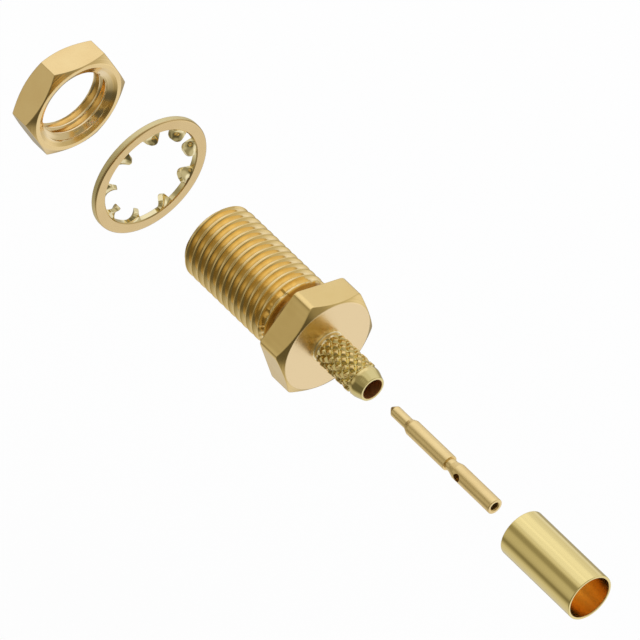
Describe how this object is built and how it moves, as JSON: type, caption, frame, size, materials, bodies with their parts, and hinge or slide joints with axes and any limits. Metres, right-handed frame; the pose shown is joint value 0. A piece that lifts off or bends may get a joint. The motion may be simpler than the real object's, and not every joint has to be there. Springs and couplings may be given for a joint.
{
  "type": "coaxial bulkhead connector",
  "caption": "Threaded coaxial bulkhead jack with hexagon flange, knurled crimp stem, pin contact, crimp ferrule, toothed lock washer and panel nut, laid out in a row.",
  "frame": {"origin": "on the axis, in the plane of the flange's front face, where the connector seats on its panel", "axes": "+X along the axis from the mating end to the cable end, +Z square to two flats of the flange"},
  "size_m": [0.0639, 0.0102, 0.0102],
  "materials": {
    "plated_body": "gold plated, turned",
    "ptfe": "waxy",
    "plated_contact": "gold plated, turned",
    "plated_ferrule": "gold plated, drawn tube",
    "plated_washer": "gold plated, stamped",
    "plated_nut": "gold plated, turned"
  },
  "bodies": {
    "connector": {"connector_body": "plated_body", "insulator": "ptfe"},
    "contact": {"centre_contact": "plated_contact"},
    "ferrule": {"crimp_ferrule": "plated_ferrule"},
    "washer": {"lock_washer": "plated_washer"},
    "nut": {"hex_nut": "plated_nut"}
  },
  "joints": [
    {"name": "washer_slide", "type": "slide", "parent": "connector", "child": "washer", "axis": [1, 0, 0], "range_m": [0, 0.01861]},
    {"name": "nut_slide", "type": "slide", "parent": "washer", "child": "nut", "axis": [1, 0, 0], "range_m": [0, 0.00804]},
    {"name": "contact_slide", "type": "slide", "parent": "connector", "child": "contact", "axis": [-1, 0, 0], "range_m": [0, 0.021]},
    {"name": "ferrule_slide", "type": "slide", "parent": "connector", "child": "ferrule", "axis": [-1, 0, 0], "range_m": [0, 0.02297]}
  ]
}
